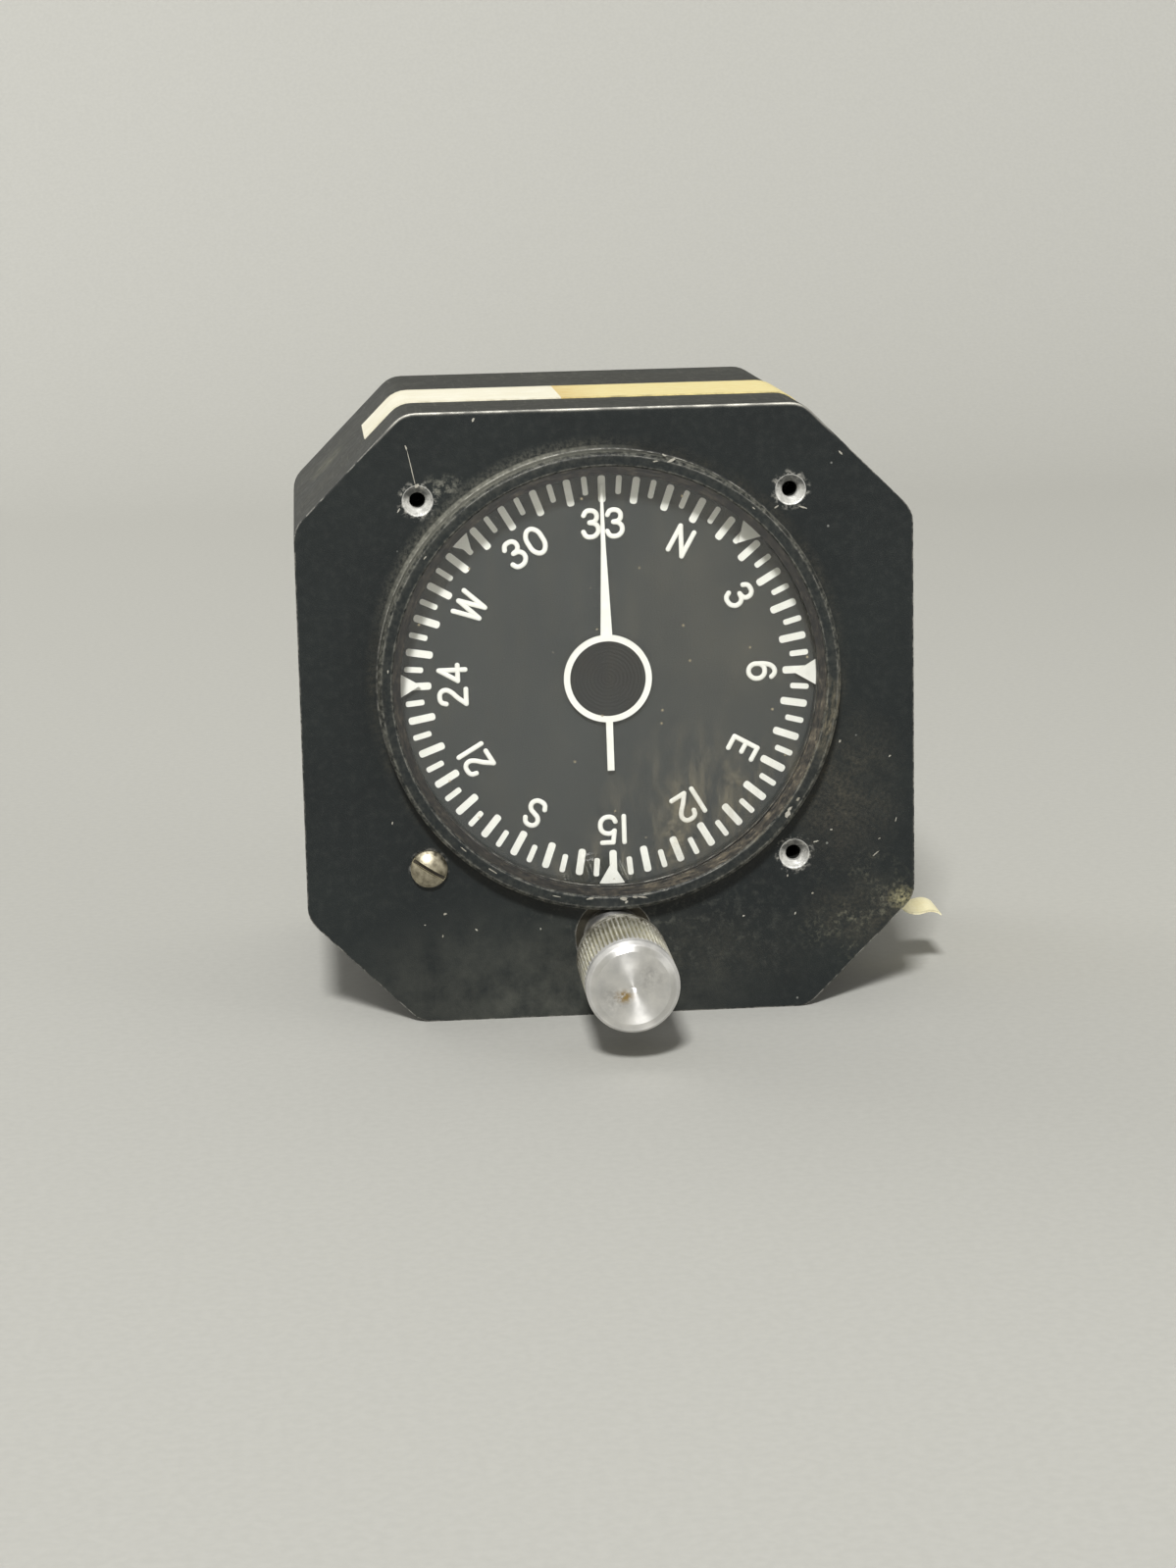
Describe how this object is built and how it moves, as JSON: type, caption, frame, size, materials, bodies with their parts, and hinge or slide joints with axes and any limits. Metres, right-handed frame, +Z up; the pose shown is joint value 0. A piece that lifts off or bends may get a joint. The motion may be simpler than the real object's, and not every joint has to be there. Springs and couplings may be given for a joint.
{
  "type": "directional gyro indicator",
  "caption": "Panel-mounted directional gyro with an octagonal cast case, a vertical compass card, a fixed pointer, a push-to-cage setting knob and gimbals inside.",
  "frame": {"origin": "where the dial axis crosses the plane of the front face, which is the plane that bears on the instrument panel", "axes": "+X to the viewer's right, +Y into the panel and the case, +Z up; the case stands on its bottom flat"},
  "size_m": [0.1131, 0.134, 0.1048],
  "materials": {
    "case_paint": "satin black paint on an aluminium casting, worn to bare metal on the edges",
    "brass": "machined brass, dulled",
    "dark_metal": "dark anodised metal with brown grime",
    "glass": "flat cover glass with smudges and dust",
    "rubber": "black rubber",
    "card_paint": "matt charcoal paint on sheet aluminium",
    "mark_paint": "matt warm white paint",
    "steel": "machined steel",
    "aluminium": "bare turned aluminium",
    "label_paper": "aged cream paper",
    "gold_tape": "aged yellow tape"
  },
  "bodies": {
    "case": {"case_body": "case_paint", "face_screw": "brass", "retaining_ring": "dark_metal", "cover_glass": "glass", "glass_gasket": "rubber", "index_ring": "card_paint", "index_marks": "mark_paint", "pointer": "mark_paint", "pointer_hub": "card_paint", "card_post": "steel", "post_washers": "brass", "card_bracket": "steel", "bracket_screws": "steel", "knob_bushing": "brass", "shaft_bracket": "steel", "upper_bearing": "steel", "lower_bearing": "steel", "lower_post": "aluminium", "air_duct": "aluminium", "rear_gasket": "rubber", "rear_cover": "case_paint", "cover_screws": "steel", "vacuum_port": "case_paint", "air_inlet": "case_paint", "inlet_screen": "steel", "inlet_ring": "dark_metal", "paper_label": "label_paper", "gold_tape": "gold_tape", "loose_tape_end": "gold_tape"},
    "card": {"compass_card": "card_paint", "card_ticks": "mark_paint", "card_hub": "brass", "card_gear_carrier": "aluminium", "card_gear": "brass"},
    "outer_gimbal_frame": {"outer_gimbal": "aluminium", "upper_trunnion": "steel", "lower_trunnion": "steel", "tilt_bearings": "steel", "gimbal_gear": "brass", "gimbal_gear_hub": "aluminium", "setting_crown": "steel", "air_nozzle": "brass", "yaw_balance_nuts": "steel"},
    "inner_gimbal_frame": {"inner_gimbal": "dark_metal", "tilt_stops": "steel", "tilt_pivots": "steel", "spin_bearings": "steel", "bearing_caps": "brass"},
    "gyro_rotor": {"rotor": "brass", "rotor_shaft": "steel"},
    "push_slide": {"caging_yoke": "steel", "caging_pad": "rubber", "return_spring": "steel"},
    "setting_knob": {"knob": "aluminium", "knob_set_screw": "steel", "setting_shaft": "steel", "setting_pinion": "brass"}
  },
  "joints": [
    {"name": "gimbal_yaw", "type": "hinge", "parent": "case", "child": "outer_gimbal_frame", "pos_m": [0, 0.044, 0], "axis": [0, 0, 1], "continuous": true},
    {"name": "card_turn", "type": "hinge", "parent": "case", "child": "card", "pos_m": [0, 0, 0], "axis": [0, 1, 0], "continuous": true},
    {"name": "gimbal_tilt", "type": "hinge", "parent": "outer_gimbal_frame", "child": "inner_gimbal_frame", "pos_m": [0, 0.044, 0], "axis": [1, 0, 0], "range_deg": [-55, 55]},
    {"name": "rotor_spin", "type": "hinge", "parent": "inner_gimbal_frame", "child": "gyro_rotor", "pos_m": [0, 0.044, 0], "axis": [0, 1, 0], "continuous": true},
    {"name": "knob_push", "type": "slide", "parent": "case", "child": "push_slide", "axis": [0, 1, 0], "range_m": [0, 0.005], "stiffness_N_per_m": 400, "deforming": ["return_spring"]},
    {"name": "knob_turn", "type": "hinge", "parent": "push_slide", "child": "setting_knob", "pos_m": [0, 0, -0.0447], "axis": [0, 1, 0], "continuous": true}
  ],
  "couplings": [
    {"joint": "card_turn", "follows": "gimbal_yaw", "ratio": -1}
  ]
}
